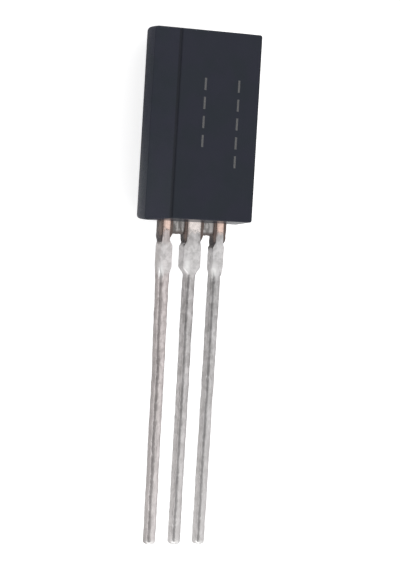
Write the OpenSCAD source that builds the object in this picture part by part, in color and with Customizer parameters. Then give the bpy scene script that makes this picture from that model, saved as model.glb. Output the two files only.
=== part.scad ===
// Three-lead transistor in the long moulded outline, with a flat marked face and a round back.
// It lies on its back: X runs across the leads, +Y from the leads to the head, +Z out of the flat face.
// The origin is on the surface it lies on, under the middle of its whole length.

/* [Moulded body] */
// Length of the body at the parting line
body_len = 8.0; // [6.5:0.05:10]
// Width of the body at the parting line
body_w = 4.7; // [3.9:0.05:6]
// Depth of the front half, from the parting line to the flat face
front_depth = 1.47; // [1.2:0.01:2]
// Slope of the sides of the front half, in degrees
side_slope = 13.4; // [5:0.1:16]
// Draft of the round back where it leaves the parting line, in degrees
back_draft = 1.75; // [0.5:0.05:8]
// Draft of the head end, in degrees
head_draft = 4; // [1:0.5:7]
// Draft of the end that the leads leave, in degrees
lead_end_draft = 5; // [1:0.5:7]
// Rounding of the edges of the flat face
face_edge_r = 0.06; // [0.02:0.01:0.15]
// Rounding of the rims of the round back
rim_r = 0.2; // [0.08:0.01:0.3]
// Bevel on each half where the two meet at the parting line
parting_bevel = 0.03; // [0.01:0.005:0.05]
// Diameter of the ejector mark on the round back
ejector_d = 1.5; // [1:0.1:1.6]
// How far the flat face of the ejector mark stands out
ejector_rise = 0.03; // [0.01:0.01:0.1]

/* [Leads] */
// Distance between neighbouring leads
pitch = 1.27; // [1.05:0.01:1.6]
// Width of a lead below its shoulder
lead_w = 0.46; // [0.36:0.01:0.56]
// Thickness of the lead strip
lead_t = 0.4; // [0.3:0.01:0.5]
// Length of the leads outside the body
lead_len = 13.4; // [6:0.1:18]
// Width of the two outer leads where they leave the body
outer_neck_w = 0.4; // [0.32:0.01:0.5]
// Width of the middle lead where it leaves the body
middle_neck_w = 0.7; // [0.5:0.01:0.75]
// Width of the shoulders of the two outer leads
outer_shoulder_w = 0.6; // [0.5:0.01:0.7]
// Width of the shoulder of the middle lead
middle_shoulder_w = 0.85; // [0.75:0.01:0.95]
// Distance from the body to the shoulders
shoulder_start = 1.0; // [0.8:0.05:1.5]
// Length of the shoulders
shoulder_len = 0.85; // [0.5:0.05:1.2]
// Length over which a neck widens to its shoulder
shoulder_ramp = 0.2; // [0.1:0.05:0.4]
// Length over which a shoulder narrows to its lead
shoulder_taper = 0.4; // [0.2:0.05:0.8]
// Sideways offset of the cuts that trimmed the shoulders
trim_offset = -0.03; // [-0.05:0.01:0.05]
// Corner cut at the lead tips
tip_cut = 0.07; // [0.02:0.01:0.12]
// Sideways lean of the emitter lead's tip
emitter_lean = 0.05; // [-0.15:0.01:0.15]
// Sideways lean of the collector lead's tip
collector_lean = 0.03; // [-0.15:0.01:0.15]
// Sideways lean of the base lead's tip
base_lean = -0.06; // [-0.15:0.01:0.15]

/* [Flash] */
// Thickness of the resin skin on the sides of the necks
skin_w = 0.06; // [0.02:0.01:0.08]
// Length of the skin on the left of each neck
left_skin_len = 0.95; // [0.5:0.05:1.2]
// Length of the skin on the right of each neck
right_skin_len = 0.7; // [0.5:0.05:1.2]
// How far the skin stays back from the broad faces of the leads
skin_recess = 0.02; // [0.01:0.005:0.05]
// Length of the web between leads, at its middle
web_len = 0.5; // [0.2:0.02:0.6]
// Rounding between the web and the leads beside it
web_corner_r = 0.12; // [0.05:0.01:0.25]
// Thickness of the web
web_t = 0.22; // [0.1:0.01:0.3]

/* [Inside] */
// Distance from the body's lead end to the wire bonding pads
bond_pad_start = 1.1; // [0.7:0.05:1.4]
// Length of the wire bonding pads
bond_pad_len = 0.8; // [0.5:0.05:1]
// How far the bonding pads stand out past the outer necks
bond_pad_lip = 0.15; // [0.05:0.01:0.25]
// Gap between the bonding pads and the middle lead
frame_gap = 0.2; // [0.1:0.01:0.25]
// Gap between the bonding pads and the die pad
pad_gap = 0.3; // [0.2:0.05:0.5]
// Width of the die pad
die_pad_w = 1.9; // [1.5:0.05:2.4]
// Length of the die pad
die_pad_len = 2.2; // [1.6:0.05:2.8]
// Side of the square silicon die
die_side = 0.9; // [0.5:0.05:1.3]
// Thickness of the silicon die
die_t = 0.2; // [0.1:0.01:0.3]
// Thickness of the joint under the die
attach_t = 0.03; // [0.02:0.01:0.06]
// How far the joint under the die shows around it
attach_margin = 0.06; // [0.02:0.01:0.1]
// Diameter of the bond wires
wire_d = 0.04; // [0.03:0.005:0.08]
// Diameter of the ball that joins a wire to the die
ball_d = 0.1; // [0.09:0.01:0.14]
// Height of that ball, and of the foot at the wire's other end
ball_t = 0.025; // [0.02:0.005:0.05]
// Radius of the bend above the die
wire_bend = 0.12; // [0.08:0.01:0.2]
// Slope of a wire from its bend down to its foot, in degrees
wire_slope = 20; // [16:1:26]

/* [Hidden] */
$fn = 96;

half_w = body_w / 2;
flat_half_w = half_w - front_depth * tan(side_slope);
back_r = half_w / cos(back_draft);
back_axis_z = half_w * tan(back_draft);
back_depth = back_r - back_axis_z;
// Straight steps in the small rounding of an edge
corner_steps = 4;
// Straight steps in the bend of a bond wire, and how much fatter than the wire its joints are
bend_steps = 4;
knuckle = 1.06;
// Reach past a solid, so that a cut goes right through it
past = 1;
// Length of flash that is rooted inside the body
root = 0.15;
// Extra radius of the rim rounding, so that it always meets the round back
rim_meet = 0.03;
bond_pad_x = [middle_neck_w / 2 + frame_gap, pitch + outer_neck_w / 2 + bond_pad_lip];
bond_pad_y = [bond_pad_start, bond_pad_start + bond_pad_len];
die_pad_y = [bond_pad_y[1] + pad_gap, bond_pad_y[1] + pad_gap + die_pad_len];
die_y = (die_pad_y[0] + die_pad_y[1]) / 2;
die_seat_z = lead_t / 2 + attach_t;
die_top_z = die_seat_z + die_t;
bond_spot = [(bond_pad_x[0] + bond_pad_x[1]) / 2, (bond_pad_y[0] + bond_pad_y[1]) / 2, lead_t / 2];
die_spot = [die_side / 4, die_y, die_top_z];

// From the lead's own place, where the parting plane meets the lead end, to where the part lies
module lying() {
    translate([0, (lead_len - body_len) / 2, back_depth + ejector_rise]) children();
}

function unit(v) = v / norm(v);
function other_side(p) = [-p[0], p[1], p[2]];

// Points along a rounded corner at p, between the edges that come from a and go on to b
function corner(a, p, b, r) =
    r == 0 ? [p] :
    let (
        u = unit(a - p),
        v = unit(b - p),
        half = acos(u * v) / 2,
        centre = p + unit(u + v) * r / sin(half)
    )
    [
        for (i = [0 : corner_steps])
            let (turn = (90 - half) * (2 * i / corner_steps - 1))
            centre - r * (cos(turn) * unit(u + v) + sin(turn) * unit(u - v))
    ];

// A convex outline whose corners have the radii given, 0 for a sharp one
function rounded(points, radii) =
    let (count = len(points))
    [
        for (i = [0 : count - 1])
            each corner(points[(i + count - 1) % count], points[i], points[(i + 1) % count], radii[i])
    ];

// Carries an outline drawn as X, Z along the length of the body
module along_body() {
    translate([0, body_len, 0]) rotate([90, 0, 0]) linear_extrude(body_len) children();
}

// Carries an outline drawn as Y, Z across the width of the body
module across_body() {
    rotate([90, 0, 90]) linear_extrude(body_w, center = true) children();
}

// The corners of the front half, seen from the front, match the rims of the back half
module front_view() {
    translate([-half_w, rim_r]) square([body_w, body_len - 2 * rim_r]);
    translate([rim_r - half_w, 0]) square([body_w - 2 * rim_r, body_len]);
    for (x = [rim_r - half_w, half_w - rim_r], y = [rim_r, body_len - rim_r]) {
        translate([x, y]) circle(r = rim_r);
    }
}

module front_section() {
    bevel_x = half_w - parting_bevel * tan(side_slope);
    polygon(rounded(
        [
            [half_w - parting_bevel, 0], [bevel_x, parting_bevel], [flat_half_w, front_depth],
            [-flat_half_w, front_depth], [-bevel_x, parting_bevel], [parting_bevel - half_w, 0]
        ],
        [0, 0, face_edge_r, face_edge_r, 0, 0]
    ));
}

// The ends of one half, seen from the side: depth is positive towards the flat face
module end_profile(depth, edge_r) {
    bevel = sign(depth) * parting_bevel;
    low = abs(depth) * tan(lead_end_draft);
    high = body_len - abs(depth) * tan(head_draft);
    polygon(rounded(
        [
            [parting_bevel, 0], [parting_bevel * tan(lead_end_draft), bevel], [low, depth],
            [high, depth], [body_len - parting_bevel * tan(head_draft), bevel], [body_len - parting_bevel, 0]
        ],
        [0, 0, edge_r, edge_r, 0, 0]
    ));
}

module front_half() {
    intersection() {
        along_body() front_section();
        across_body() end_profile(front_depth, face_edge_r);
        linear_extrude(front_depth) front_view();
    }
}

module back_section() {
    intersection() {
        translate([0, back_axis_z]) circle(r = back_r, $fn = 180);
        polygon([
            [parting_bevel - half_w, 0], [-half_w, -parting_bevel], [-half_w, -back_depth - past],
            [half_w, -back_depth - past], [half_w, -parting_bevel], [half_w - parting_bevel, 0]
        ]);
    }
}

// A disc with a rounded rim on a wide slab: what it covers of the back half has that rim
module rim_form() {
    rim = back_r + rim_meet;
    slab = rim + past;
    brim = -rim_r - rim_meet;
    rotate_extrude($fn = 180) difference() {
        polygon([[0, -body_len], [slab, -body_len], [slab, brim], [rim, brim], [rim, 0], [0, 0]]);
        translate([rim - rim_r, -rim_r]) difference() {
            square(rim_r);
            circle(r = rim_r);
        }
    }
}

module back_half() {
    intersection() {
        along_body() back_section();
        across_body() end_profile(-back_depth, 0);
        translate([0, body_len + back_axis_z * tan(head_draft), back_axis_z])
            rotate([-90 - head_draft, 0, 0]) rim_form();
        translate([0, -back_axis_z * tan(lead_end_draft), back_axis_z])
            rotate([90 + lead_end_draft, 0, 0]) rim_form();
    }
}

// The round flat face that an ejector pin leaves in the middle of the back
module ejector_mark() {
    translate([0, body_len / 2, -back_depth - ejector_rise]) cylinder(d = ejector_d, h = back_depth / 2);
}

// Resin skin on one side of a neck, thinning to a point: side is -1 for its left and 1 for its right
module skin_outline(x, side, neck_w, skin_len) {
    edge = x + side * neck_w / 2;
    outer = edge + side * skin_w;
    polygon([[x, root], [outer, root], [outer, -skin_len / 2], [edge, -skin_len], [x, -root]]);
}

module neck_skin(x, neck_w) {
    linear_extrude(lead_t - 2 * skin_recess, center = true) {
        skin_outline(x, -1, neck_w, left_skin_len);
        skin_outline(x, 1, neck_w, right_skin_len);
    }
}

// Resin web between the middle neck and an outer one, on the side given by 1 or -1
module web(side) {
    inner = middle_neck_w / 2;
    outer = pitch - outer_neck_w / 2;
    low = -web_len - web_corner_r;
    turns = [for (i = [0 : corner_steps]) 90 * i / corner_steps];
    linear_extrude(web_t, center = true) polygon([
        [side * inner, root], [side * outer, root],
        for (a = turns) [side * (outer - web_corner_r * (1 - cos(a))), low + web_corner_r * sin(a)],
        for (a = turns) [side * (inner + web_corner_r * (1 - sin(a))), low + web_corner_r * cos(a)]
    ]);
}

module flash() {
    neck_skin(-pitch, outer_neck_w);
    neck_skin(0, middle_neck_w);
    neck_skin(pitch, outer_neck_w);
    web(-1);
    web(1);
}

// One edge of a lead, from its pad to its tip: side is -1 for the left edge and 1 for the right one
function lead_edge(side, x, neck_w, shoulder_w, lean, pad_edge, pad_y) =
    let (
        neck_x = x + side * neck_w / 2,
        shoulder_x = x + trim_offset + side * shoulder_w / 2,
        shoulder_end = shoulder_start + shoulder_len,
        run_start = shoulder_end + shoulder_taper,
        run_x = x + side * lead_w / 2
    )
    [
        [pad_edge, pad_y[1]], [pad_edge, pad_y[0]], [neck_x, pad_y[0]],
        [neck_x, shoulder_ramp - shoulder_start], [shoulder_x, -shoulder_start], [shoulder_x, -shoulder_end],
        [run_x + lean * run_start / lead_len, -run_start],
        [run_x + lean * (lead_len - tip_cut) / lead_len, tip_cut - lead_len],
        [run_x + lean - side * tip_cut, -lead_len]
    ];

function reversed(points) = [for (i = [len(points) - 1 : -1 : 0]) points[i]];

// One stamped lead: a pad inside the body, then neck, shoulder, straight run and cut tip
module lead(x, neck_w, shoulder_w, lean, pad_x, pad_y) {
    linear_extrude(lead_t, center = true) polygon(concat(
        lead_edge(-1, x, neck_w, shoulder_w, lean, pad_x[0], pad_y),
        reversed(lead_edge(1, x, neck_w, shoulder_w, lean, pad_x[1], pad_y))
    ));
}

module left_lead() {
    lead(-pitch, outer_neck_w, outer_shoulder_w, emitter_lean, [-bond_pad_x[1], -bond_pad_x[0]], bond_pad_y);
}

module middle_lead() {
    lead(0, middle_neck_w, middle_shoulder_w, collector_lean, [-die_pad_w / 2, die_pad_w / 2], die_pad_y);
}

module right_lead() {
    lead(pitch, outer_neck_w, outer_shoulder_w, base_lean, bond_pad_x, bond_pad_y);
}

module slab_on_pad(side, height, z) {
    translate([-side / 2, die_y - side / 2, z]) cube([side, side, height]);
}

module die() {
    slab_on_pad(die_side, die_t, die_seat_z);
}

module attach() {
    slab_on_pad(die_side + 2 * attach_margin, attach_t, lead_t / 2);
}

// The way of a bond wire, in the upright plane through both its ends: stem, bend, then a straight slope
function wire_route(reach, drop) =
    let (
        run_x = wire_bend * (1 + sin(wire_slope)),
        stem = (reach - run_x) * tan(wire_slope) - wire_bend * cos(wire_slope) - drop
    )
    [
        [0, 0],
        for (i = [0 : bend_steps])
            let (turn = (90 + wire_slope) * i / bend_steps)
            [wire_bend * (1 - cos(turn)), stem + wire_bend * sin(turn)],
        [reach, -drop]
    ];

// Ball on the die, wire down to the bonding pad, and the foot there
module bond_wire(start, end) {
    reach = norm([end[0] - start[0], end[1] - start[1]]);
    drop = start[2] - end[2];
    route = wire_route(reach, drop - ball_t);
    translate(start) rotate([0, 0, atan2(end[1] - start[1], end[0] - start[0])]) {
        cylinder(d = ball_d, h = ball_t);
        translate([reach, 0, -drop]) cylinder(d = ball_d, h = ball_t);
        for (i = [1 : len(route) - 1]) {
            step = route[i] - route[i - 1];
            translate([route[i - 1][0], 0, route[i - 1][1]])
                rotate([0, atan2(step[0], step[1]), 0]) cylinder(d = wire_d, h = norm(step));
        }
        for (i = [1 : len(route) - 2]) {
            translate([route[i][0], 0, route[i][1]]) sphere(d = wire_d * knuckle);
        }
    }
}

module emitter_wire() {
    bond_wire(other_side(die_spot), other_side(bond_spot));
}

module base_wire() {
    bond_wire(die_spot, bond_spot);
}

module moulded_body() {
    color("#33363d") lying() difference() {
        union() {
            front_half();
            back_half();
            ejector_mark();
            flash();
        }
        left_lead();
        middle_lead();
        right_lead();
        die();
        attach();
        emitter_wire();
        base_wire();
    }
}

module emitter_lead() {
    color("#c3bab8") lying() left_lead();
}

module collector_lead() {
    color("#c3bab8") lying() middle_lead();
}

module base_lead() {
    color("#c3bab8") lying() right_lead();
}

module silicon_die() {
    color("#5a5f6b") lying() die();
}

module die_attach() {
    color("#a9a9a4") lying() attach();
}

module emitter_bond_wire() {
    color("#d9ab45") lying() emitter_wire();
}

module base_bond_wire() {
    color("#d9ab45") lying() base_wire();
}

moulded_body();
emitter_lead();
collector_lead();
base_lead();
silicon_die();
die_attach();
emitter_bond_wire();
base_bond_wire();
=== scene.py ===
"""Looks of the three-lead transistor: its body, tinned leads, flash, floor, light and camera."""
import math
from collections import namedtuple

import bmesh
import bpy
from mathutils import Matrix, Vector, noise


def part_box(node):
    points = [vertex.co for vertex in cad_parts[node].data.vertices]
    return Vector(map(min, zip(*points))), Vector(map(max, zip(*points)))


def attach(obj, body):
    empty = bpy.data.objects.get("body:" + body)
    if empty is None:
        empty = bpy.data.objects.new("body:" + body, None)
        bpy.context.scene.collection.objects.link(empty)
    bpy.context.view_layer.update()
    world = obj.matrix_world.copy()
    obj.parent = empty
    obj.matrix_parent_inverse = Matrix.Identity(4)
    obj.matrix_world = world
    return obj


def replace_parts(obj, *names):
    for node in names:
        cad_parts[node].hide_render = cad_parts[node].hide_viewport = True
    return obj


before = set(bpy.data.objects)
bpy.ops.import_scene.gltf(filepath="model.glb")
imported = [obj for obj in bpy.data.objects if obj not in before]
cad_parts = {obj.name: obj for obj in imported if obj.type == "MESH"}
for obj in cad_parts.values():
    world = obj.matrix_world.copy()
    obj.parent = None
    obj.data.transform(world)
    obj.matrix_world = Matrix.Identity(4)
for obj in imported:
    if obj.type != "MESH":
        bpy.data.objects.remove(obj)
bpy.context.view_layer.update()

MM = 0.001
PER_MM = 1000.0

# ---------------------------------------------------------------- sizes, in millimetres

# The moulded body: a sloping front half and a round back, which meet at the parting line
BODY_LEN = 8.0
HALF_W = 2.35
FRONT_DEPTH = 1.47
SIDE_SLOPE_DEG = 13.4
SIDE_SLOPE = math.tan(math.radians(SIDE_SLOPE_DEG))
HEAD_DRAFT = math.tan(math.radians(4.0))
LEAD_END_DRAFT = math.tan(math.radians(5.0))
BACK_END_DRAFT = math.tan(math.radians(1.5))
BACK_SIDE_DRAFT = math.radians(1.75)
BACK_R = HALF_W / math.cos(BACK_SIDE_DRAFT)
BACK_AXIS = HALF_W * math.tan(BACK_SIDE_DRAFT)
BACK_DEPTH = BACK_R - BACK_AXIS
RIM_R = 0.16
GROOVE = 0.014
FACE_HALF_W = HALF_W - FRONT_DEPTH * SIDE_SLOPE
FACE_CORNER_R = 0.09
FACE_EDGE_R = 0.065
# The face's edge starts on a sloping side, so it draws in by less than a whole quarter circle
FACE_EDGE_SHARE = 0.92

# The ejector mark on the back: its chamfer, its supporting loops and how deep it reaches in
EJECTOR_R = 0.75
EJECTOR_RISE = 0.03
EJECTOR_CHAMFER_W = 0.015
EJECTOR_CHAMFER_H = 0.012
EJECTOR_SUPPORT = 0.05
EJECTOR_ROOT = 0.4

# The leads, measured down from the lead end of the body
PITCH = 1.27
LEAD_T = 0.4
LEAD_W = 0.46
LEAD_LEN = 13.4
OUTER_NECK_W = 0.4
MIDDLE_NECK_W = 0.7
SHOULDER_START = 1.0
SHOULDER_END = 1.85
RUN_START = 2.2
TAPER_EASE = 1.5
SPREAD_LEN = 4.0
TWIST_LEN = 1.5
# The trimmed shoulders sit this far off the middle of their leads
TRIM = -0.03
# A pad narrows to its neck over this length
PAD_STEP = 0.01
TIP_CUT = 0.13
# The tip's faces draw in, and its front edges' radius shrinks, by these shares of its sides' inset
TIP_T_SHARE = 0.8
TIP_EDGE_SHARE = 0.6
# Where the outer leads sit, up to a tenth off the pitch as stamped, and where their pads lie
EMITTER_X = -1.29
EMITTER_NECK_X = EMITTER_X - 0.08
BASE_X = 1.295
OUTER_PAD_Y = (1.1, 1.9)

# What differs from lead to lead: where it sits and how wide it is, how much wider its run starts,
# how far its tip leans, its pad inside the body, its twist in degrees, and its seed in the noise
LeadShape = namedtuple("LeadShape", "x neck_x neck_w shoulder_w spread lean pad_x pad_y twist seed")
EMITTER_SHAPE = LeadShape(
    x=EMITTER_X,
    neck_x=EMITTER_NECK_X,
    neck_w=OUTER_NECK_W,
    shoulder_w=0.6,
    spread=0.07,
    lean=0.08,
    pad_x=(-1.62, -0.55),
    pad_y=OUTER_PAD_Y,
    twist=7,
    seed=21,
)
COLLECTOR_SHAPE = LeadShape(
    x=0.0,
    neck_x=0.0,
    neck_w=MIDDLE_NECK_W,
    shoulder_w=0.87,
    spread=0.0,
    lean=0.03,
    pad_x=(-0.95, 0.95),
    pad_y=(2.2, 4.4),
    twist=0,
    seed=31,
)
BASE_SHAPE = LeadShape(
    x=BASE_X,
    neck_x=BASE_X,
    neck_w=OUTER_NECK_W,
    shoulder_w=0.57,
    spread=0.02,
    lean=-0.06,
    pad_x=(0.55, 1.62),
    pad_y=OUTER_PAD_Y,
    twist=0,
    seed=41,
)

# How far each part of a lead is rounded over
PAD_EDGE_R = 0.02
NECK_EDGE_R = 0.035
SHOULDER_EDGE_R = 0.028
TAPER_EDGE_R = 0.03
TAPER_EDGE_GAIN = 0.1
LEAD_EDGE_R = 0.17
BACK_EDGE_R = 0.05

# How uneven a lead is: each wave's length and height, and its share by part of the lead
LEFT_WAVE = (0.9, 0.016)
RIGHT_WAVE = (0.8, 0.016)
BOW_WAVE = (1.4, 0.012)
DENT_SIZE = 0.2
DENT_DEPTH = 0.014
# How far apart neighbouring seeds lie in the noise, along two of its axes
WAVE_SEED = (7.3, 1.9)
DENT_SEED = (3.1, 5.7)
NECK_WAVINESS = 0.3
SHOULDER_WAVINESS = 0.6

# The resin skins on the necks' sides, as (width, length) of the left one and the right one
EMITTER_SKINS = ((0.07, 0.98), (0.12, 0.78))
MIDDLE_SKINS = ((0.08, 1.02), (0.13, 0.86))
BASE_SKINS = ((0.085, 1.18), (0.11, 0.92))
SKIN_T = 0.38
SKIN_TUCK = 0.01
SKIN_ROOT = 0.12
SKIN_LEAST_W = 0.012
SKIN_EDGE_R = 0.025
# A skin is never thinner than this many times the radius of its edges
SKIN_LEAST_RADII = 2.2
# A skin narrows over the last 1 / SKIN_TAPER of its length, and thins from SKIN_CLOSES_FROM on
SKIN_TAPER = 3.2
SKIN_CLOSES_FROM = 0.7
SKIN_CLOSING = 0.9
SKIN_WIDTH_WAVE = (0.16, 0.25)
SKIN_T_WAVE = (0.2, 0.06)
# How far the seed of a skin's thickness lies from that of its width
SKIN_T_SEED = 5

# The flash webs between the necks
WEB_LEN = 0.52
WEB_CORNER = 0.12
WEB_T = 0.22
WEB_ROOT = 0.1
WEB_SUPPORT = 0.05
WEB_INNER_X = 0.34
WEB_OUTER_X = PITCH - 0.19
WEB_THIN = 0.075
# Shares of a web's height where it begins to thin and where it is thin, and of its thickness there
WEB_THINS_FROM = 0.55
WEB_THIN_FROM = 0.85
WEB_WAIST = 0.9
WEB_LIP = 0.45
WEB_EDGE_WAVE = (0.16, 0.03)
WEB_T_WAVE = (0.2, 0.02)
# Each web's side and its seed in the noise, and how far the seed of its thickness lies from that
WEB_SEEDS = ((-1, 11), (1, 17))
WEB_T_SEED = 3

# The plain dashes: where their columns start in the frame, and each column's x and count
DASH_TOP_Y = 8.65
DASH_COLUMNS = ((0.95, 5), (-0.71, 4))
DASH_W = 0.1
DASH_LEN = 0.5
DASH_SPACING = 0.78
DASH_SUNK = 0.002
DASH_RISE = 0.003
DASH_BEVEL_W = 0.004
DASH_BEVEL_H = 0.001

# Where the lead end of the body meets the parting plane, from the frame's own pieces
TIP_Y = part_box("collector_lead")[0].y * PER_MM
FACE_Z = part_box("moulded_body")[1].z * PER_MM
ORIGIN = Vector((0.0, TIP_Y + LEAD_LEN, FACE_Z - FRONT_DEPTH))

# How far a supporting loop stays from the corner it supports
SUPPORT = 0.04

# ---------------------------------------------------------------- steps in the meshes

CORNER_STEPS = 8
FACE_EDGE_STEPS = 5
BACK_RINGS = 40
DISC_STEPS = 48
SKIN_STEPS = 18
SKIN_CORNER_STEPS = 4
WEB_STEPS = 24
LEAD_EDGE_STEPS = 5
LEAD_SIDE_SHARES = (0.25, 0.5, 0.75)
NECK_LEVELS = (0.1, -0.1, -0.3, -0.5, -0.7, -0.8)
SHOULDER_FIRST_STEP = 0.08
SHOULDER_STEP = 0.1
SHOULDER_STEPS = 8
TAPER_SHARES = (0.15, 0.3, 0.45, 0.6, 0.8)
RUN_STEPS = 120
TIP_STEPS = 6
# The corners of a square, in order
SQUARE = ((-1, -1), (1, -1), (1, 1), (-1, 1))
# Points closer than this, in metres, are one point
MERGE = 2e-8
# Each piece is shaded smooth across edges that turn by less than this
BODY_SHARP_DEG = 40
SKIN_SHARP_DEG = 50
WEB_SHARP_DEG = 60
LEAD_SHARP_DEG = 50
DASH_SHARP_DEG = 30

# ---------------------------------------------------------------- levels of the looks

# Spans over which a grain's value goes from one look to the other, from a soft change to a crisp
WIDE = (0.25, 0.75)
SOFT = (0.3, 0.7)
MIDDLING = (0.35, 0.65)
FIRM = (0.38, 0.62)
CRISP = (0.4, 0.6)

# Where the looks change along the frame's Y, in millimetres
MATT_STARTS = (0.35, 0.75)
MATT_ENDS = (1.65, 1.95)
NECK_SHADE_STARTS = (1.95, 2.25)
BARE_STARTS = (2.14, 2.5)
BRIGHTENING_ENDS = 1.0
SMEAR_BLUR = 0.12
BROWNING = (1.85, 2.6)
COPPER_SHOWING = (1.8, 2.2)
WEB_EDGE_ENDS = (2.24, 2.38)
# Where they change above the parting line: the painted shade along the flat face's long edges, and
# the fronts
EDGE_SHADE_STARTS = (1.3, 1.38)
SKIN_FRONT_STARTS = (-0.02, 0.22)
TIP_FRONT_STARTS = (0.0, 0.15)

# What differs from tin to tin: its colours, how grey the painted shade on its sides is, the smear
# and the painted highlight spot on it, and the neck along whose sides shade is painted
TinLook = namedtuple("TinLook", "color shade bare_color side_shade smear_y neck_x neck_w spot")
WARM_TIN = TinLook(
    color=(0.84, 0.765, 0.755),
    shade=(0.47, 0.42, 0.41),
    bare_color=(0.99, 0.74, 0.64),
    side_shade=0.65,
    smear_y=1.78,
    neck_x=EMITTER_NECK_X,
    neck_w=OUTER_NECK_W,
    spot=(-1.56, -2.06, LEAD_T / 2),
)
PLAIN_TIN = TinLook(
    color=(0.72, 0.695, 0.695),
    shade=(0.41, 0.395, 0.39),
    bare_color=(0.99, 0.90, 0.86),
    side_shade=0.1,
    smear_y=1.75,
    neck_x=0.0,
    neck_w=MIDDLE_NECK_W,
    spot=(-0.26, -1.84, LEAD_T / 2),
)
GREY_TIN = TinLook(
    color=(0.71, 0.695, 0.695),
    shade=(0.42, 0.41, 0.405),
    bare_color=(0.98, 0.73, 0.63),
    side_shade=0.1,
    smear_y=1.63,
    neck_x=BASE_X,
    neck_w=OUTER_NECK_W,
    spot=(1.09, -2.0, LEAD_T / 2),
)

# Roughness of the body's lead end, as a share of the rest of the resin's
LEAD_END_GLOSS = 0.58
RESIN_SPECULAR = 0.22

# ---------------------------------------------------------------- view and studio

# The view, in the frame: aim and distance in millimetres, the lens against a sensor 36 mm wide
AIM = (0.399, 0.121, 2.566)
LOOK = (0.5576, -0.0222, -0.8298)
UP = (-0.0359, 0.9981, -0.0508)
DISTANCE = 135.94
LENS = 206.7
SENSOR_W = 36.0
CLIP_START = 0.005
CLIP_END = 10.0
# The dome's levels, and the angles from the camera between which its opening darkens
DOME_LEVEL = 1.1
HOLE_LEVEL = 0.18
HOLE_ANGLES = (54, 32)
LEFT_LEVEL = 1.8
RIGHT_LEVEL = 0.66
# The table: its white, how much the camera sees added, and its gleam beside the leads and the body
TABLE_WHITE = (0.86, 0.86, 0.86)
FLOOR_LIFT = 0.7
LEAD_SIDE_LIFT = 0.15
BODY_SIDE_LIFT = 0.65
GLEAM_STARTS = -1.6
GLEAM_ENDS = 0.6 * BODY_LEN
# The table lies this many millimetres under the part, and is this many metres wide
FLOOR_GAP = 0.01
FLOOR_SIZE = 3.0


def place(x, y, z):
    """A point of the frame, from the part's own place in millimetres."""
    return (Vector((x, y, z)) + ORIGIN) * MM


def wave(seed, along, size, height):
    """A smooth random offset along a length, in millimetres."""
    return height * noise.noise(Vector((along / size, seed * WAVE_SEED[0], seed * WAVE_SEED[1])))


# ---------------------------------------------------------------- meshes

def loft(bm, rings, cap_first=True, cap_last=True):
    """A skin of quads through rings of equal length."""
    rows = [[bm.verts.new(point) for point in ring] for ring in rings]
    for low, high in zip(rows, rows[1:]):
        for i in range(len(low)):
            j = (i + 1) % len(low)
            bm.faces.new((low[i], low[j], high[j], high[i]))
    if cap_first:
        bm.faces.new(tuple(reversed(rows[0])))
    if cap_last:
        bm.faces.new(tuple(rows[-1]))


def finish_mesh(bm, name, sharp_deg, material):
    """Turns the skin into a piece of the object that rides on the body and wears the material."""
    bmesh.ops.remove_doubles(bm, verts=bm.verts, dist=MERGE)
    bmesh.ops.dissolve_degenerate(bm, edges=bm.edges, dist=MERGE)
    bmesh.ops.recalc_face_normals(bm, faces=bm.faces)
    for face in bm.faces:
        face.smooth = True
    mesh = bpy.data.meshes.new(name)
    bm.to_mesh(mesh)
    bm.free()
    mesh.set_sharp_from_angle(angle=math.radians(sharp_deg))
    mesh.materials.append(material)
    piece = bpy.data.objects.new(name, mesh)
    bpy.context.scene.collection.objects.link(piece)
    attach(piece, "root")
    return piece


# ---------------------------------------------------------------- resin body

def body_ring(corner, low, high, z):
    """One level of the body, whose corner runs from its side round to its end as (x, depth in)."""
    side_x, side_in = corner[0]
    end_x, end_in = corner[-1]
    inner_x = end_x - min(SUPPORT, end_x / 2)
    half = []
    for x, depth in reversed(corner):
        half.append((x, low + depth))
    half.append((side_x, low + side_in + SUPPORT))
    half.append((side_x, high - side_in - SUPPORT))
    for x, depth in corner:
        half.append((x, high - depth))
    right = [(inner_x, low + end_in)] + half + [(inner_x, high - end_in)]
    left = [(-x, y) for x, y in reversed(right)]
    return [place(x, y, z) for x, y in right + left]


def round_corner(half_width, radius):
    """A quarter circle from the side to the end of a level."""
    points = []
    for step in range(CORNER_STEPS + 1):
        turn = math.radians(90.0 * step / CORNER_STEPS)
        x = half_width - radius + radius * math.cos(turn)
        points.append((x, radius - radius * math.sin(turn)))
    return points


def front_ring(z, inset=0.0):
    """A level of the front half at height z, drawn in by inset."""
    share = z / FRONT_DEPTH
    radius = RIM_R + (FACE_CORNER_R - RIM_R) * share
    corner = round_corner(HALF_W - z * SIDE_SLOPE - inset, radius - inset / 2)
    low = z * LEAD_END_DRAFT + inset
    high = BODY_LEN - z * HEAD_DRAFT - inset
    return body_ring(corner, low, high, z)


def front_rings():
    """Levels from the parting line up to the flat face."""
    edge_foot = FRONT_DEPTH - FACE_EDGE_R
    rings = [front_ring(z) for z in (GROOVE, GROOVE + SUPPORT, edge_foot - SUPPORT)]
    for step in range(FACE_EDGE_STEPS + 1):
        turn = math.radians(SIDE_SLOPE_DEG + (90.0 - SIDE_SLOPE_DEG) * step / FACE_EDGE_STEPS)
        inset = FACE_EDGE_R * (1 - math.cos(turn)) * FACE_EDGE_SHARE
        rings.append(front_ring(edge_foot + FACE_EDGE_R * math.sin(turn), inset))
    rings.append(front_ring(FRONT_DEPTH, FACE_EDGE_R + SUPPORT))
    return rings


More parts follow.
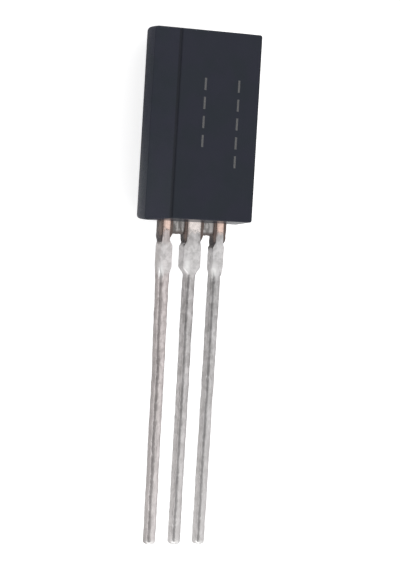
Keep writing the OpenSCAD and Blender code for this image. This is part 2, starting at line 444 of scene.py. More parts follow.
def back_ring(reach):
    """A level of the round back, at this distance behind the arc's axis."""
    depth = reach - BACK_AXIS
    core = BACK_R - RIM_R
    most = 90.0
    if reach > core:
        most = math.degrees(math.acos(min(1.0, (reach - core) / RIM_R)))
    corner = []
    for step in range(CORNER_STEPS + 1):
        turn = math.radians(most * step / CORNER_STEPS)
        radius = core + RIM_R * math.cos(turn)
        x = math.sqrt(max(radius * radius - reach * reach, 0.0))
        corner.append((x, RIM_R - RIM_R * math.sin(turn)))
    return body_ring(corner, depth * BACK_END_DRAFT, BODY_LEN - depth * BACK_END_DRAFT, -depth)


def back_rings():
    """Levels from the parting line down to the crown of the back."""
    start = math.acos((BACK_AXIS + GROOVE) / BACK_R)
    rings = []
    for step in range(BACK_RINGS + 1):
        rings.append(back_ring(BACK_R * math.cos(start * (1 - step / BACK_RINGS))))
    return rings


def parting_ring():
    """The bottom of the groove between the two halves."""
    corner = round_corner(HALF_W - GROOVE, RIM_R - GROOVE)
    return body_ring(corner, GROOVE, BODY_LEN - GROOVE, 0.0)


def disc_ring(radius, z):
    """A level of the ejector mark on the back."""
    points = []
    for step in range(DISC_STEPS):
        turn = math.tau * step / DISC_STEPS
        points.append(place(radius * math.cos(turn), BODY_LEN / 2 + radius * math.sin(turn), z))
    return points


def ejector_rings():
    """Levels of the ejector mark, from its flat face into the back."""
    face = -BACK_DEPTH - EJECTOR_RISE
    levels = [
        (EJECTOR_R - EJECTOR_SUPPORT, face),
        (EJECTOR_R - EJECTOR_CHAMFER_W, face),
        (EJECTOR_R, face + EJECTOR_CHAMFER_H),
        (EJECTOR_R, face + EJECTOR_SUPPORT),
        (EJECTOR_R, face + EJECTOR_ROOT),
    ]
    return [disc_ring(radius, z) for radius, z in levels]


def resin_body(material):
    """The moulded body, from the crown of its back over the groove to its flat face."""
    bm = bmesh.new()
    rings = list(reversed(back_rings())) + [parting_ring()] + front_rings()
    loft(bm, rings, cap_first=False)
    loft(bm, ejector_rings())
    return finish_mesh(bm, "moulded_resin", BODY_SHARP_DEG, material)


# ---------------------------------------------------------------- flash

def box_ring(x0, x1, y, half_z, rounding):
    """A rounded box section across a lead, at the distance y."""
    points = []
    corners = [(x1, half_z, 0), (x0, half_z, 90), (x0, -half_z, 180), (x1, -half_z, 270)]
    for x, z, start in corners:
        towards_x = -1 if x == x1 else 1
        towards_z = -1 if z > 0 else 1
        middle_x = x + towards_x * rounding
        middle_z = z + towards_z * rounding
        for step in range(SKIN_CORNER_STEPS + 1):
            turn = math.radians(start + 90 * step / SKIN_CORNER_STEPS)
            at_x = middle_x + rounding * math.cos(turn)
            points.append(place(at_x, y, middle_z + rounding * math.sin(turn)))
    return points


def neck_skin(bm, edge, side, width, length, seed):
    """Resin that clings to one side of a neck and thins to a rounded, ragged end."""
    start = edge - side * SKIN_TUCK
    rings = []
    for step in range(SKIN_STEPS + 1):
        along = step / SKIN_STEPS
        y = SKIN_ROOT - along * (length + SKIN_ROOT)
        reach = width * min(1.0, SKIN_TAPER * (1.0 - along)) + SKIN_LEAST_W
        reach *= 1.0 + wave(seed, y, *SKIN_WIDTH_WAVE)
        closing = max(0.0, (along - SKIN_CLOSES_FROM) / (1.0 - SKIN_CLOSES_FROM))
        half_z = (SKIN_T / 2) * math.sqrt(1.0 - SKIN_CLOSING * closing ** 2)
        half_z *= 1.0 + wave(seed + SKIN_T_SEED, y, *SKIN_T_WAVE)
        low, high = sorted((start, start + side * reach))
        rounding = min(SKIN_EDGE_R, (high - low) / SKIN_LEAST_RADII)
        rings.append(box_ring(low, high, y, half_z, rounding))
    loft(bm, rings)


def resin_skins(material):
    """Skins on both sides of each neck, wider where the resin was squeezed further out."""
    bm = bmesh.new()
    necks = (
        (EMITTER_NECK_X, OUTER_NECK_W, EMITTER_SKINS),
        (0.0, MIDDLE_NECK_W, MIDDLE_SKINS),
        (BASE_X, OUTER_NECK_W, BASE_SKINS),
    )
    seed = 0
    for x, neck_w, skins in necks:
        for side, (width, length) in zip((-1, 1), skins):
            seed += 1
            neck_skin(bm, x + side * neck_w / 2, side, width, length, seed)
    return finish_mesh(bm, "neck_skins", SKIN_SHARP_DEG, material)


def web_section(x, low, thin):
    """The web at one place between two necks: its lower edge, and half its thickness near it."""
    half_t = WEB_T / 2
    rows = [
        (WEB_ROOT, half_t),
        (-WEB_SUPPORT, half_t),
        (low * WEB_THINS_FROM, half_t * WEB_WAIST),
        (low * WEB_THIN_FROM, thin),
        (low, thin * WEB_LIP),
    ]
    front = [place(x, y, half_z) for y, half_z in rows]
    back = [place(x, y, -half_z) for y, half_z in reversed(rows)]
    return front + back


def web(bm, side, seed):
    """A film of resin between the middle neck and an outer one, drawn up between them."""
    rings = []
    for step in range(WEB_STEPS + 1):
        x = WEB_INNER_X + (WEB_OUTER_X - WEB_INNER_X) * step / WEB_STEPS
        near = max(0.0, WEB_CORNER - min(x - WEB_INNER_X, WEB_OUTER_X - x))
        low = -WEB_LEN - WEB_CORNER + math.sqrt(WEB_CORNER ** 2 - near ** 2)
        low += wave(seed, x, *WEB_EDGE_WAVE)
        thin = WEB_THIN + wave(seed + WEB_T_SEED, x, *WEB_T_WAVE)
        rings.append(web_section(side * x, low, thin))
    loft(bm, rings)


def resin_webs(material):
    """The two webs of flash between the three necks."""
    bm = bmesh.new()
    for side, seed in WEB_SEEDS:
        web(bm, side, seed)
    return finish_mesh(bm, "flash_webs", WEB_SHARP_DEG, material)


# ---------------------------------------------------------------- leads

def lead_section(x0, x1, y, z, half_t, front_r, back_r):
    """A level of a lead: the stamped front edges are rounded over, the back ones are crisper."""
    middle = (x0 + x1) / 2
    half_w = (x1 - x0) / 2
    corners = ((1, 1, front_r), (-1, 1, front_r), (-1, -1, back_r), (1, -1, back_r))
    arcs = []
    for quarter, (side_x, side_z, radius) in enumerate(corners):
        centre = Vector((side_x * (half_w - radius), side_z * (half_t - radius)))
        arc = []
        for step in range(LEAD_EDGE_STEPS + 1):
            turn = math.radians(90 * (quarter + step / LEAD_EDGE_STEPS))
            arc.append(centre + radius * Vector((math.cos(turn), math.sin(turn))))
        arcs.append(arc)
    points = []
    for quarter, arc in enumerate(arcs):
        points += arc
        following = arcs[(quarter + 1) % len(arcs)][0]
        for share in LEAD_SIDE_SHARES:
            points.append(arc[-1].lerp(following, share))
    return [(middle + point.x, y, z + point.y) for point in points]


def dent(points, seed, size, height):
    """Pushes the points of a level in and out along their own direction from its middle."""
    middle = sum((Vector(point) for point in points), Vector()) / len(points)
    own = Vector((seed * DENT_SEED[0], 0.0, seed * DENT_SEED[1]))
    found = []
    for point in points:
        at = Vector(point)
        push = height * noise.noise(at / size + own)
        found.append(place(*(at + (at - middle).normalized() * push)))
    return found


def turned(level, middle, z, angle):
    """The level turned about the lead's own axis, its front towards the emitter's side."""
    cos, sin = math.cos(angle), math.sin(angle)
    found = []
    for at_x, y, at_z in level:
        dx, dz = at_x - middle, at_z - z
        found.append((middle + dx * cos - dz * sin, y, z + dx * sin + dz * cos))
    return found


def neck_stations(shape):
    """Levels of a lead's pad and neck, as (y, left, right, rounding, waviness)."""
    (pad_left, pad_right), (pad_start, pad_end) = shape.pad_x, shape.pad_y
    left, right = shape.neck_x - shape.neck_w / 2, shape.neck_x + shape.neck_w / 2
    found = [(y, pad_left, pad_right, PAD_EDGE_R, 0.0) for y in (pad_end, pad_start)]
    found.append((pad_start - PAD_STEP, left, right, PAD_EDGE_R, 0.0))
    for y in NECK_LEVELS:
        found.append((y, left, right, NECK_EDGE_R, NECK_WAVINESS))
    return found


def shoulder_stations(shape):
    """Levels of a lead's trimmed shoulder and of its taper to the run."""
    middle, half_w = shape.x + TRIM, shape.shoulder_w / 2
    left, right = middle - half_w, middle + half_w
    levels = [-SHOULDER_START]
    for step in range(SHOULDER_STEPS):
        levels.append(-SHOULDER_START - SHOULDER_FIRST_STEP - SHOULDER_STEP * step)
    levels.append(-SHOULDER_END)
    found = [(y, left, right, SHOULDER_EDGE_R, SHOULDER_WAVINESS) for y in levels]
    left_run, right_run = shape.x - LEAD_W / 2 - shape.spread, shape.x + LEAD_W / 2
    for share in TAPER_SHARES:
        y = -SHOULDER_END - share * (RUN_START - SHOULDER_END)
        closing = math.sin(math.radians(90 * share)) ** TAPER_EASE
        at_left = left + closing * (left_run - left)
        at_right = right + closing * (right_run - right)
        rounding = TAPER_EDGE_R + TAPER_EDGE_GAIN * share
        found.append((y, at_left, at_right, rounding, SHOULDER_WAVINESS))
    return found


def run_stations(shape):
    """Levels of a lead's long run, which is a little wider at the top on its left side."""
    found = []
    for step in range(RUN_STEPS + 1):
        y = -RUN_START - step * (LEAD_LEN - TIP_CUT - RUN_START) / RUN_STEPS
        middle = shape.x + shape.lean * -y / LEAD_LEN
        wider = shape.spread * max(0.0, 1.0 - (-y - RUN_START) / SPREAD_LEN)
        found.append((y, middle - LEAD_W / 2 - wider, middle + LEAD_W / 2, LEAD_EDGE_R, 1.0))
    return found


def twist_at(y, twist_deg):
    """How far a lead is turned at a level: the twist comes in smoothly below its shoulder."""
    share = min(1.0, max(0.0, (-y - SHOULDER_END) / TWIST_LEN))
    return math.radians(twist_deg) * share * share * (3 - 2 * share)


def tip_rings(left, right, z, angle):
    """Levels of a lead's cut tip, which draws in from the run's last level."""
    rings = []
    for step in range(1, TIP_STEPS + 1):
        turn = math.radians(90 / TIP_STEPS * step)
        inset = TIP_CUT * (1 - math.cos(turn))
        y = -LEAD_LEN + TIP_CUT * (1 - math.sin(turn))
        half_t = LEAD_T / 2 - inset * TIP_T_SHARE
        front_r = LEAD_EDGE_R - inset * TIP_EDGE_SHARE
        level = lead_section(left + inset, right - inset, y, z, half_t, front_r, BACK_EDGE_R)
        level = turned(level, (left + right) / 2, z, angle)
        rings.append([place(*point) for point in level])
    return rings


def lead(name, shape, material):
    """One stamped and tinned lead, from the pad inside the body to its cut tip."""
    bm = bmesh.new()
    rings = []
    seed = shape.seed
    stations = neck_stations(shape) + shoulder_stations(shape) + run_stations(shape)
    for y, left, right, rounding, waviness in stations:
        left += waviness * wave(seed, y, *LEFT_WAVE)
        right += waviness * wave(seed + 1, y, *RIGHT_WAVE)
        z = waviness * wave(seed + 2, y, *BOW_WAVE)
        level = lead_section(left, right, y, z, LEAD_T / 2, rounding, min(rounding, BACK_EDGE_R))
        angle = twist_at(y, shape.twist)
        level = turned(level, (left + right) / 2, z, angle)
        rings.append(dent(level, seed, DENT_SIZE, DENT_DEPTH * waviness))
    rings += tip_rings(left, right, z, angle)
    loft(bm, rings)
    piece = finish_mesh(bm, name + "_tinned", LEAD_SHARP_DEG, material)
    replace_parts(piece, name)
    return piece


# ---------------------------------------------------------------- marking

def bar(bm, x, y, width, length):
    """One plain etched bar, a few thousandths of a millimetre thick."""
    base, top = FRONT_DEPTH - DASH_SUNK, FRONT_DEPTH + DASH_RISE
    rings = []
    for z, inset in ((base, 0.0), (top - DASH_BEVEL_H, 0.0), (top, DASH_BEVEL_W)):
        ring = []
        for u, v in SQUARE:
            ring.append(place(x + u * (width / 2 - inset), y + v * (length / 2 - inset), z))
        rings.append(ring)
    loft(bm, rings)


def marking(material):
    """Plain dashes where the real part carries its marking."""
    bm = bmesh.new()
    for x, count in DASH_COLUMNS:
        for index in range(count):
            y = DASH_TOP_Y - ORIGIN.y - DASH_SPACING * index - DASH_LEN / 2
            bar(bm, x, y, DASH_W, DASH_LEN)
    return finish_mesh(bm, "etched_dashes", DASH_SHARP_DEG, material)


# ---------------------------------------------------------------- materials

class Graph:
    """A node tree that is built up a step at a time."""

    def __init__(self, tree):
        self.nodes = tree.nodes
        self.links = tree.links

    def join(self, value, socket):
        """Feeds a socket with another socket's value."""
        self.links.new(value, socket)

    def feed(self, value, socket):
        """Feeds a socket with a number or with another socket's value."""
        if isinstance(value, (int, float)):
            socket.default_value = value
        else:
            self.join(value, socket)

    def ramp(self, value, span, onto=(0.0, 1.0)):
        """A smooth step from one end of onto to the other, while the value crosses the span."""
        node = self.nodes.new("ShaderNodeMapRange")
        node.interpolation_type = "SMOOTHSTEP"
        for name, number in zip(("From Min", "From Max", "To Min", "To Max"), (*span, *onto)):
            node.inputs[name].default_value = number
        self.join(value, node.inputs["Value"])
        return node.outputs["Result"]

    def fade(self, value, span_mm, onto=(0.0, 1.0)):
        """A ramp over a span that is given in millimetres."""
        return self.ramp(value, [end * MM for end in span_mm], onto)

    def math(self, operation, *values):
        """One step of arithmetic on sockets or numbers."""
        node = self.nodes.new("ShaderNodeMath")
        node.operation = operation
        for value, socket in zip(values, node.inputs):
            self.feed(value, socket)
        return node.outputs["Value"]

    def scaled(self, value, strength):
        """A value at this strength."""
        return self.math("MULTIPLY", value, strength)

    def part(self, vector, axis):
        """One coordinate of a vector."""
        node = self.nodes.new("ShaderNodeSeparateXYZ")
        self.join(vector, node.inputs["Vector"])
        return node.outputs[axis]

    def combined(self, operation, vector, constant):
        """The node that combines a vector with a constant one."""
        node = self.nodes.new("ShaderNodeVectorMath")
        node.operation = operation
        node.inputs[1].default_value = constant
        self.join(vector, node.inputs[0])
        return node


class Surface(Graph):
    """A node material on one principled shader, built up a texture at a time."""

    def __init__(self, name, color, roughness, metallic=0.0):
        self.material = bpy.data.materials.new(name)
        self.material.use_nodes = True
        super().__init__(self.material.node_tree)
        self.shader = self.nodes["Principled BSDF"]
        self.shader.inputs["Base Color"].default_value = (*color, 1.0)
        self.shader.inputs["Roughness"].default_value = roughness
        self.shader.inputs["Metallic"].default_value = metallic
        self.here = self.nodes.new("ShaderNodeTexCoord").outputs["Object"]

    def grain(self, size_mm, detail=3.0, stretch=(1.0, 1.0, 1.0), distortion=0.0):
        """Cloudy noise with spots of about this size."""
        stretched = self.nodes.new("ShaderNodeMapping")
        stretched.inputs["Scale"].default_value = stretch
        self.join(self.here, stretched.inputs["Vector"])
        node = self.nodes.new("ShaderNodeTexNoise")
        node.inputs["Scale"].default_value = PER_MM / size_mm
        node.inputs["Detail"].default_value = detail
        node.inputs["Distortion"].default_value = distortion
        self.join(stretched.outputs["Vector"], node.inputs["Vector"])
        return node.outputs["Fac"]

    def blend(self, factor, a, b):
        """Mixes two colours, each a triple or a socket."""
        node = self.nodes.new("ShaderNodeMix")
        node.data_type = "RGBA"
        self.join(factor, node.inputs["Factor"])
        for value, socket in ((a, node.inputs["A"]), (b, node.inputs["B"])):
            if isinstance(value, tuple):
                socket.default_value = (*value, 1.0)
            else:
                self.join(value, socket)
        return node.outputs["Result"]

    def away_from(self, point, stretch):
        """Distance from a point of the frame, measured with each axis scaled."""
        offset = self.combined("SUBTRACT", self.here, point)
        shaped = self.combined("MULTIPLY", offset.outputs["Vector"], stretch)
        length = self.nodes.new("ShaderNodeVectorMath")
        length.operation = "LENGTH"
        self.join(shaped.outputs["Vector"], length.inputs[0])
        return length.outputs["Value"]

    def axis(self, name):
        """Where the surface lies along an axis of the frame, in metres."""
        return self.part(self.here, name)

    def by_height(self, span_mm, onto=(0.0, 1.0)):
        """A ramp over a span of heights above the parting line, in millimetres."""
        return self.fade(self.axis("Z"), [ORIGIN.z + end for end in span_mm], onto)

    def ragged(self, value, grain, reach_mm):
        """A length with a grain's unevenness added, by up to this many millimetres either way."""
        reach = reach_mm * MM
        return self.math("ADD", value, self.ramp(grain, SOFT, onto=(-reach, reach)))

    def facing(self, name):
        """How far the surface faces along an axis, from -1 to 1."""
        return self.part(self.nodes.new("ShaderNodeNewGeometry").outputs["Normal"], name)

    def set(self, name, value):
        """Feeds one of the shader's sockets."""
        self.join(value, self.shader.inputs[name])

    def bump(self, height, depth_mm):
        """Raises the surface's relief by a height from 0 to 1."""
        node = self.nodes.new("ShaderNodeBump")
        node.inputs["Distance"].default_value = depth_mm * MM
        self.join(height, node.inputs["Height"])
        self.set("Normal", node.outputs["Normal"])


def resin_tone(surface, fine):
    """The resin's blue-grey, which drifts a little in hue and in brightness."""
    blue, violet, pale = (0.018, 0.0236, 0.0335), (0.0215, 0.0236, 0.039), (0.0255, 0.029, 0.0435)
    cloud = surface.grain(size_mm=0.8, detail=4.0)
    patch = surface.grain(size_mm=1.3, detail=2.0)
    tint = surface.blend(surface.ramp(patch, MIDDLING), blue, violet)
    each = (0.0, 0.2)
    tone = surface.math("ADD", surface.ramp(cloud, SOFT, each), surface.ramp(fine, SOFT, each))
    return surface.blend(tone, tint, pale)


def face_edge_shade(surface):
    """How much painted shade a point gets: most on a thin line along the long edges of the flat
    face.
    """
    across = surface.math("ABSOLUTE", surface.axis("X"))
    off_edge = surface.math("ABSOLUTE", surface.math("SUBTRACT", across, FACE_HALF_W * MM))
    border, strength = (0.02, 0.09), 0.65
    shade_near_edge = surface.fade(off_edge, border, onto=(strength, 0.0))
    return surface.math("MULTIPLY", shade_near_edge, surface.by_height(EDGE_SHADE_STARTS))


def resin():
    """Dark blue-grey moulding resin, finely matt, with painted shade along the edges of the flat
    face.
    """
    surface = Surface("moulding_resin", color=(0.018, 0.022, 0.034), roughness=0.5)
    surface.shader.inputs["Specular IOR Level"].default_value = RESIN_SPECULAR
    fine = surface.grain(size_mm=0.06, detail=4.0)
    body = resin_tone(surface, fine)
    edge_shade_color = (0.006, 0.007, 0.011)
    # Painted shade: a dark line along the crease at the flat face's long edges
    surface.set("Base Color", surface.blend(face_edge_shade(surface), body, edge_shade_color))
    matt = surface.ramp(fine, WIDE, onto=(0.42, 0.62))
    towards_leads = (-0.99, -0.93)
    lead_end = surface.ramp(surface.facing("Y"), towards_leads, onto=(LEAD_END_GLOSS, 1.0))
    surface.set("Roughness", surface.math("MULTIPLY", matt, lead_end))
    surface.bump(fine, depth_mm=0.004)
    return surface.material


def skin_resin():
    """Resin squeezed thin over metal: brown by the body, where copper shows through, then black."""
    black, grey = (0.030, 0.024, 0.026), (0.095, 0.080, 0.082)
    dark_brown, brown, copper = (0.060, 0.046, 0.042), (0.185, 0.140, 0.122), (0.26, 0.185, 0.158)
    surface = Surface("skin_resin", color=(0.06, 0.05, 0.05), roughness=0.4)
    fine = surface.grain(size_mm=0.09, detail=4.0)
    patch = surface.grain(size_mm=0.25, detail=3.0)
    mostly_black = (0.35, 0.7)
    thick = surface.blend(surface.ramp(fine, mostly_black), black, grey)
    thin = surface.blend(surface.ramp(patch, MIDDLING), dark_brown, brown)
    along = surface.ragged(surface.axis("Y"), patch, reach_mm=0.15)
    film = surface.blend(surface.fade(along, BROWNING), thick, thin)
    by_front = surface.by_height(SKIN_FRONT_STARTS, onto=(0.0, 0.75))
    showing = surface.math("MULTIPLY", by_front, surface.fade(along, COPPER_SHOWING))
    surface.set("Base Color", surface.blend(showing, film, copper))
    surface.set("Roughness", surface.ramp(fine, SOFT, onto=(0.25, 0.55)))
    surface.bump(fine, depth_mm=0.006)
    return surface.material


def web_resin():
    """Greyish, glossy film of bled resin, streaked along the leads and darker at its lower edge."""
    dark, pale, edge = (0.17, 0.155, 0.145), (0.74, 0.71, 0.69), (0.17, 0.14, 0.13)
    surface = Surface("web_resin", color=(0.3, 0.28, 0.27), roughness=0.3)
    blotch = surface.grain(size_mm=0.2, detail=3.0, stretch=(1.0, 0.45, 1.0), distortion=0.3)
    fine = surface.grain(size_mm=0.05, detail=3.0)
    above_edge = surface.fade(surface.axis("Y"), WEB_EDGE_ENDS)
    between_webs = (-0.3, 0.3)
    paler = surface.fade(surface.axis("X"), between_webs, onto=(0.12, 0.34))
    tone = surface.math("ADD", surface.ramp(blotch, CRISP, onto=(0.0, 0.9)), paler)
    film = surface.blend(tone, dark, pale)
    surface.set("Base Color", surface.blend(above_edge, edge, film))
    surface.set("Roughness", surface.ramp(fine, SOFT, onto=(0.16, 0.42)))
    surface.bump(blotch, depth_mm=0.02)
    return surface.material


def tin_plating(surface, look, cloud, speck, matt):
    """The tin: streaky and cloudy, brighter towards the tip, pale and speckled where it is matt."""
    bright, matt_grey, matt_white = (0.92, 0.89, 0.88), (0.73, 0.715, 0.71), (0.95, 0.93, 0.93)
    streak = surface.grain(size_mm=0.16, detail=4.0, stretch=(1.0, 0.35, 1.0))
    each = (0.0, 0.5)
    tone = surface.math("ADD", surface.ramp(streak, FIRM, each), surface.ramp(cloud, FIRM, each))
    brighter = surface.fade(surface.axis("Y"), (TIP_Y, BRIGHTENING_ENDS), onto=(0.5, 0.0))
    plated = surface.blend(brighter, surface.blend(tone, look.shade, look.color), bright)
    etched_tin = surface.blend(surface.ramp(speck, MIDDLING), matt_grey, matt_white)
    return surface.blend(surface.scaled(matt, strength=0.7), plated, etched_tin)


def tin_copper(surface, look, speck):
    """The speckled copper that is bare by the body."""
    dulling = 0.9
    dull_copper = tuple(dulling * part for part in look.bare_color)
    return surface.blend(surface.ramp(speck, CRISP), dull_copper, look.bare_color)


def tin_neck_side_shade(surface, look, metal, along):
    """The metal with painted shade in brown along both sides of its neck, near the body."""
    brown, strength = (0.20, 0.14, 0.12), 0.75
    left_width, right_width = 0.17, 0.1
    left, right = look.neck_x - look.neck_w / 2, look.neck_x + look.neck_w / 2
    x = surface.axis("X")
    left_shade_mask = surface.fade(x, (left, left + left_width), onto=(strength, 0.0))
    right_shade_mask = surface.fade(x, (right - right_width, right), onto=(0.0, strength))
    neck_shade_mask = surface.math("MAXIMUM", left_shade_mask, right_shade_mask)
    by_body = surface.fade(along, NECK_SHADE_STARTS)
    # Painted shade: brown darkening beside the neck's edges near the body
    return surface.blend(surface.math("MULTIPLY", neck_shade_mask, by_body), metal, brown)


def tin_side_shade_and_smear(surface, look, metal, along):
    """The metal with painted shade greying its side faces, which a dark smear of resin crosses
    below the body.
    """
    side_shade_grey, soot = (0.31, 0.29, 0.285), (0.07, 0.06, 0.058)
    sideways, fully_sideways = (0.45, 0.75), (0.6, 0.8)
    drift = surface.grain(size_mm=2.6, detail=2.0)
    aside = surface.math("ABSOLUTE", surface.facing("X"))
    side_shade_mask = surface.ramp(aside, sideways, onto=(0.0, look.side_shade))
    side_shade_mask = surface.math("MULTIPLY", side_shade_mask, surface.ramp(drift, MIDDLING, onto=(0.6, 1.0)))
    # Painted shade: side faces are greyed by which way they face, most on the emitter lead
    metal = surface.blend(side_shade_mask, metal, side_shade_grey)
    smear_span = (look.smear_y - SMEAR_BLUR, look.smear_y + SMEAR_BLUR)
    smear = surface.fade(along, smear_span, onto=(0.0, 0.85))
    smear = surface.math("MULTIPLY", smear, surface.ramp(aside, fully_sideways))
    return surface.blend(smear, metal, soot)


def tin_painted_highlight(surface, look, speck):
    """Where a highlight is painted in near-white: a spot on the shoulder, and the front of the cut
    tip.
    """
    twice_as_long = (1.0, 0.5, 1.0)
    spot_border, tip_border = (0.02, 0.24), (TIP_Y + 0.06, TIP_Y + 0.22)
    away = surface.away_from(place(*look.spot), twice_as_long)
    away = surface.ragged(away, speck, reach_mm=0.05)
    spot = surface.fade(away, spot_border, onto=(1.0, 0.0))
    tip = surface.fade(surface.axis("Y"), tip_border, onto=(0.8, 0.0))
    tip_front = surface.math("MULTIPLY", tip, surface.by_height(TIP_FRONT_STARTS))
    return surface.math("MAXIMUM", spot, tip_front)


def tin_relief(surface, cloud, speck, dull, bare):
    """Roughness and relief of the metal: rougher where it is dull, calmer where it is bare."""
    fine = surface.grain(size_mm=0.06, detail=4.0)
    rough = surface.ramp(fine, SOFT, onto=(0.28, 0.44))
    rough = surface.math("ADD", rough, surface.scaled(dull, strength=0.14))
    rough = surface.math("SUBTRACT", rough, surface.scaled(bare, strength=0.12))
    surface.set("Roughness", rough)
    clouds = surface.scaled(cloud, strength=0.8)
    relief = surface.math("ADD", clouds, surface.scaled(speck, strength=0.5))
    etching = surface.scaled(surface.math("MULTIPLY", dull, fine), strength=0.5)
    relief = surface.math("ADD", relief, etching)
    calm = surface.math("SUBTRACT", 1.0, surface.scaled(bare, strength=0.8))
    surface.bump(surface.math("MULTIPLY", relief, calm), depth_mm=0.035)


def tin(name, look):
    """Tinned metal: mottled, matt on the shoulder, bare copper by the body, with painted shade and
    painted highlights in places.
    """
    surface = Surface(name, look.color, roughness=0.32, metallic=1.0)
    cloud = surface.grain(size_mm=0.32, detail=5.0, distortion=0.6)
    speck = surface.grain(size_mm=0.17, detail=3.0, distortion=0.4)
    y = surface.axis("Y")
    lower = surface.fade(y, MATT_STARTS)
    upper = surface.fade(y, MATT_ENDS, onto=(1.0, 0.0))
    matt = surface.math("MULTIPLY", lower, upper)
    along = surface.ragged(y, speck, reach_mm=0.08)
    bare = surface.fade(along, BARE_STARTS)
    metal = tin_plating(surface, look, cloud, speck, matt)
    metal = surface.blend(bare, metal, tin_copper(surface, look, speck))
    metal = tin_neck_side_shade(surface, look, metal, along)
    metal = tin_side_shade_and_smear(surface, look, metal, along)
    # Painted highlight: near-white on the shoulder spot and on the front of the cut tip
    highlight_mask = tin_painted_highlight(surface, look, speck)
    highlight_white = (0.97, 0.96, 0.95)
    surface.set("Base Color", surface.blend(highlight_mask, metal, highlight_white))
    dull = surface.math("MULTIPLY", matt, surface.math("SUBTRACT", 1.0, highlight_mask))
    tin_relief(surface, cloud, speck, dull, bare)
    return surface.material


def etched():
    """Light grey of a laser mark in the resin."""
    dark, light = (0.085, 0.085, 0.09), (0.17, 0.168, 0.17)
    surface = Surface("etched_resin", color=(0.13, 0.13, 0.135), roughness=0.75)
    fine = surface.grain(size_mm=0.035, detail=4.0)
    surface.set("Base Color", surface.blend(surface.ramp(fine, SOFT), dark, light))
    surface.bump(fine, depth_mm=0.003)
    return surface.material


def grained(surface, fine, dark, light, roughness, depth_mm):
    """Gives a surface two colours, a roughness and a relief that all follow one fine grain."""
    surface.set("Base Color", surface.blend(fine, dark, light))
    surface.set("Roughness", surface.ramp(fine, SOFT, onto=roughness))
    surface.bump(fine, depth_mm)
    return surface.material


def silicon():
    """The chip's polished blue-grey silicon."""
    dark, light = (0.08, 0.09, 0.12), (0.13, 0.14, 0.18)
    surface = Surface("silicon", color=(0.10, 0.11, 0.14), roughness=0.15, metallic=0.6)
    fine = surface.grain(size_mm=0.05, detail=3.0)
    return grained(surface, fine, dark, light, roughness=(0.1, 0.25), depth_mm=0.001)


def solder():
    """The grey joint under the chip."""
    dark, light = (0.32, 0.32, 0.30), (0.46, 0.46, 0.44)
    surface = Surface("die_solder", color=(0.4, 0.4, 0.38), roughness=0.4, metallic=1.0)
    fine = surface.grain(size_mm=0.08, detail=4.0)
    return grained(surface, fine, dark, light, roughness=(0.3, 0.55), depth_mm=0.004)


def gold():
    """The bright gold of the bond wires."""
    dark, light = (0.68, 0.42, 0.11), (0.82, 0.55, 0.18)
    surface = Surface("bond_gold", color=(0.75, 0.48, 0.14), roughness=0.25, metallic=1.0)
    fine = surface.grain(size_mm=0.03, detail=2.0)
    return grained(surface, fine, dark, light, roughness=(0.18, 0.32), depth_mm=0.0006)


def dress(name, material):
    """Puts a material on a CAD node that is carried over as it is."""
    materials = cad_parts[name].data.materials
    materials.clear()
    materials.append(material)


# ---------------------------------------------------------------- studio

def gleam(graph):
    """The light the table adds to its mirror image in the part, most by the body's lead end."""
    y = graph.part(graph.nodes.new("ShaderNodeTexCoord").outputs["Object"], "Y")
    beside_leads = (ORIGIN.y + GLEAM_STARTS, ORIGIN.y)
    beside_body = (ORIGIN.y, ORIGIN.y + GLEAM_ENDS)
    rising = graph.fade(y, beside_leads, onto=(LEAD_SIDE_LIFT, BODY_SIDE_LIFT))
    falling = graph.fade(y, beside_body, onto=(1.0, 0.0))
    return graph.math("MULTIPLY", rising, falling)


def white_table():
    """Matt white that keeps a faint shadow, and gleams in the metal beside the body's lead end."""
    material = bpy.data.materials.new("white_table")
    material.use_nodes = True
    graph = Graph(material.node_tree)
    graph.nodes.remove(graph.nodes["Principled BSDF"])
    matt = graph.nodes.new("ShaderNodeBsdfDiffuse")
    matt.inputs["Color"].default_value = (*TABLE_WHITE, 1.0)
    path = graph.nodes.new("ShaderNodeLightPath")
    mirrored = graph.math("MULTIPLY", path.outputs["Is Glossy Ray"], gleam(graph))
    lift = graph.nodes.new("ShaderNodeEmission")
    strength = graph.math("MULTIPLY_ADD", path.outputs["Is Camera Ray"], FLOOR_LIFT, mirrored)
    graph.join(strength, lift.inputs["Strength"])
    both = graph.nodes.new("ShaderNodeAddShader")
    graph.join(matt.outputs["BSDF"], both.inputs[0])
    graph.join(lift.outputs["Emission"], both.inputs[1])
    graph.join(both.outputs["Shader"], graph.nodes["Material Output"].inputs["Surface"])
    return material


def floor():
    """A large white table just under the part."""
    half = FLOOR_SIZE / 2
    bm = bmesh.new()
    corners = []
    for u, v in SQUARE:
        corners.append(bm.verts.new((u * half, v * half, -FLOOR_GAP * MM)))
    bm.faces.new(corners)
    mesh = bpy.data.meshes.new("floor")
    bm.to_mesh(mesh)
    bm.free()
    mesh.materials.append(white_table())
    table = bpy.data.objects.new("floor", mesh)
    bpy.context.scene.collection.objects.link(table)


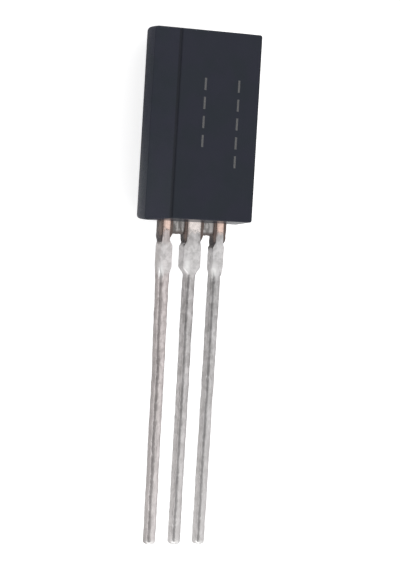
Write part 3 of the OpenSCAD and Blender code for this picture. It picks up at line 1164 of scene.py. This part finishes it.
def dome(towards_camera):
    """A soft white tent: darker round the photograph's view, stronger on the emitter's side."""
    world = bpy.data.worlds.new("studio")
    bpy.context.scene.world = world
    world.use_nodes = True
    graph = Graph(world.node_tree)
    background = graph.nodes["Background"]
    background.inputs["Color"].default_value = (1.0, 1.0, 1.0, 1.0)
    towards = graph.nodes.new("ShaderNodeTexCoord").outputs["Generated"]
    turn = graph.combined("DOT_PRODUCT", towards, towards_camera).outputs["Value"]
    rims = [math.cos(math.radians(angle)) for angle in HOLE_ANGLES]
    hole = graph.ramp(turn, rims, onto=(DOME_LEVEL, HOLE_LEVEL))
    sides = graph.ramp(graph.part(towards, "X"), (-1.0, 1.0), onto=(LEFT_LEVEL, RIGHT_LEVEL))
    path = graph.nodes.new("ShaderNodeLightPath")
    seen = graph.nodes.new("ShaderNodeMix")
    seen.inputs["B"].default_value = 1.0
    graph.join(path.outputs["Is Camera Ray"], seen.inputs["Factor"])
    graph.join(graph.math("MULTIPLY", hole, sides), seen.inputs["A"])
    graph.join(seen.outputs["Result"], background.inputs["Strength"])


def camera():
    """The photograph's view: down on the flat face from the emitter lead's side."""
    data = bpy.data.cameras.new("camera")
    data.lens = LENS
    data.sensor_width = SENSOR_W
    data.clip_start = CLIP_START
    data.clip_end = CLIP_END
    view = bpy.data.objects.new("camera", data)
    bpy.context.scene.collection.objects.link(view)
    forward = Vector(LOOK).normalized()
    up = Vector(UP)
    up = (up - up.dot(forward) * forward).normalized()
    right = forward.cross(up)
    turn = Matrix((right, up, -forward)).transposed().to_4x4()
    view.matrix_world = Matrix.Translation((Vector(AIM) - forward * DISTANCE) * MM) @ turn
    bpy.context.scene.camera = view
    return -forward


# ---------------------------------------------------------------- the part

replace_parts(resin_body(resin()), "moulded_body")
resin_skins(skin_resin())
resin_webs(web_resin())

lead("emitter_lead", EMITTER_SHAPE, tin("warm_tin", WARM_TIN))
lead("collector_lead", COLLECTOR_SHAPE, tin("plain_tin", PLAIN_TIN))
lead("base_lead", BASE_SHAPE, tin("grey_tin", GREY_TIN))
marking(etched())

dress("silicon_die", silicon())
dress("die_attach", solder())
bond_gold = gold()
dress("emitter_bond_wire", bond_gold)
dress("base_bond_wire", bond_gold)

floor()
dome(camera())

scene = bpy.context.scene
scene.view_settings.view_transform = "Standard"
